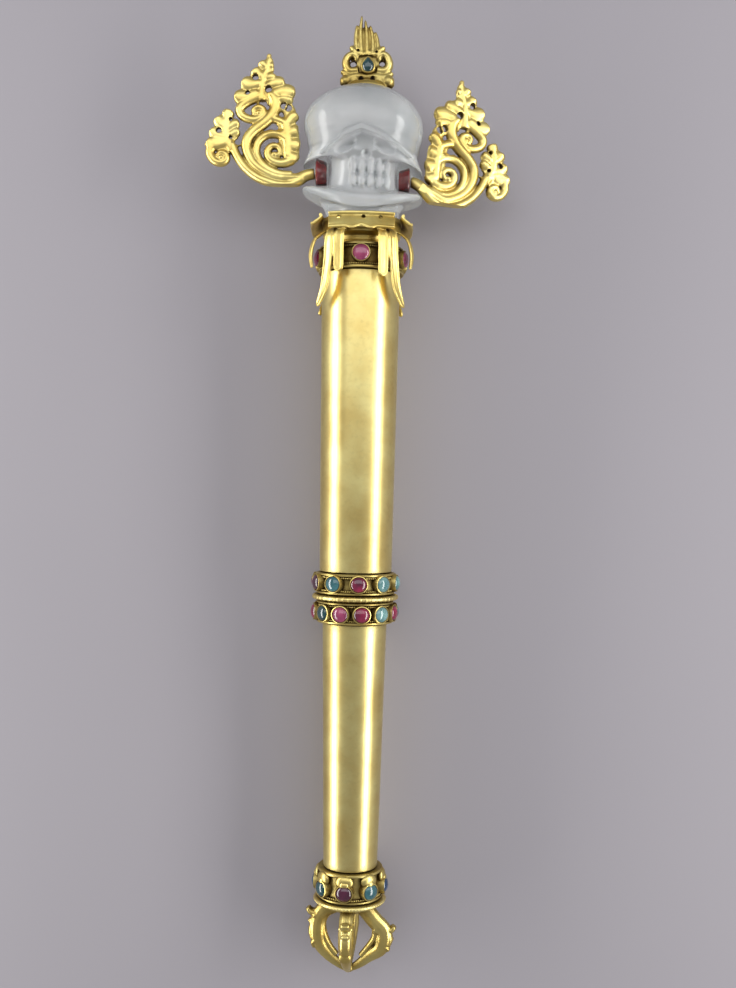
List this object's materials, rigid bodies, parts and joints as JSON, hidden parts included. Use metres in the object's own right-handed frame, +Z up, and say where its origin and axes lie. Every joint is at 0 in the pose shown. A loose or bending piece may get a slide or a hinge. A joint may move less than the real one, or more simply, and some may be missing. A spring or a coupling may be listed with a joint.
{
  "type": "ceremonial sceptre",
  "caption": "Ceremonial staff with a rock-crystal skull head between pierced gilt flame ornaments, gem-set bands on a tapered gilt shaft and a half-vajra foot.",
  "frame": {"origin": "middle of the floor rectangle that the sceptre covers when it lies on its back", "axes": "+Y along the staff towards the skull, +X towards the skull's left side, +Z up, away from the floor, the way that the face looks"},
  "size_m": [0.148, 0.4496, 0.0549],
  "materials": {
    "gilt_metal": "worn satin gilding over copper, brown in the recesses",
    "rock_crystal": "frosted carving, polished on the high places",
    "red_coral": "polished dark red stone",
    "red_stone": "polished ruby-red cabochon",
    "blue_stone": "polished turquoise and teal cabochon"
  },
  "bodies": {
    "root": {"half_vajra": "gilt_metal", "foot_bead_ring": "gilt_metal", "foot_gem_band": "gilt_metal", "foot_gem_00": "red_stone", "foot_gem_01": "blue_stone", "foot_gem_02": "blue_stone", "foot_gem_03": "red_stone", "foot_gem_04": "blue_stone", "foot_gem_05": "red_stone", "foot_gem_06": "blue_stone", "foot_gem_07": "blue_stone", "lower_shaft": "gilt_metal", "lower_mid_gem_band": "gilt_metal", "lower_mid_gem_00": "red_stone", "lower_mid_gem_01": "blue_stone", "lower_mid_gem_02": "red_stone", "lower_mid_gem_03": "blue_stone", "lower_mid_gem_04": "red_stone", "lower_mid_gem_05": "blue_stone", "lower_mid_gem_06": "red_stone", "lower_mid_gem_07": "blue_stone", "lower_mid_gem_08": "blue_stone", "lower_mid_gem_09": "red_stone", "lower_mid_gem_10": "blue_stone", "lower_mid_gem_11": "red_stone", "mid_bead_ring": "gilt_metal", "upper_mid_gem_band": "gilt_metal", "upper_mid_gem_00": "red_stone", "upper_mid_gem_01": "blue_stone", "upper_mid_gem_02": "blue_stone", "upper_mid_gem_03": "red_stone", "upper_mid_gem_04": "blue_stone", "upper_mid_gem_05": "red_stone", "upper_mid_gem_06": "blue_stone", "upper_mid_gem_07": "red_stone", "upper_mid_gem_08": "red_stone", "upper_mid_gem_09": "blue_stone", "upper_shaft": "gilt_metal", "top_gem_band": "gilt_metal", "top_gem_00": "red_stone", "top_gem_01": "red_stone", "top_gem_02": "red_stone", "top_gem_03": "blue_stone", "top_gem_04": "red_stone", "top_gem_05": "red_stone", "top_gem_06": "red_stone", "top_gem_07": "red_stone", "top_gem_08": "red_stone", "top_gem_09": "red_stone", "ribbon_collar": "gilt_metal", "crystal_skull": "rock_crystal", "left_red_boss": "red_coral", "right_red_boss": "red_coral", "left_flame_scroll": "gilt_metal", "right_flame_scroll": "gilt_metal", "crown_gem": "blue_stone", "crown_finial": "gilt_metal"}
  },
  "joints": []
}
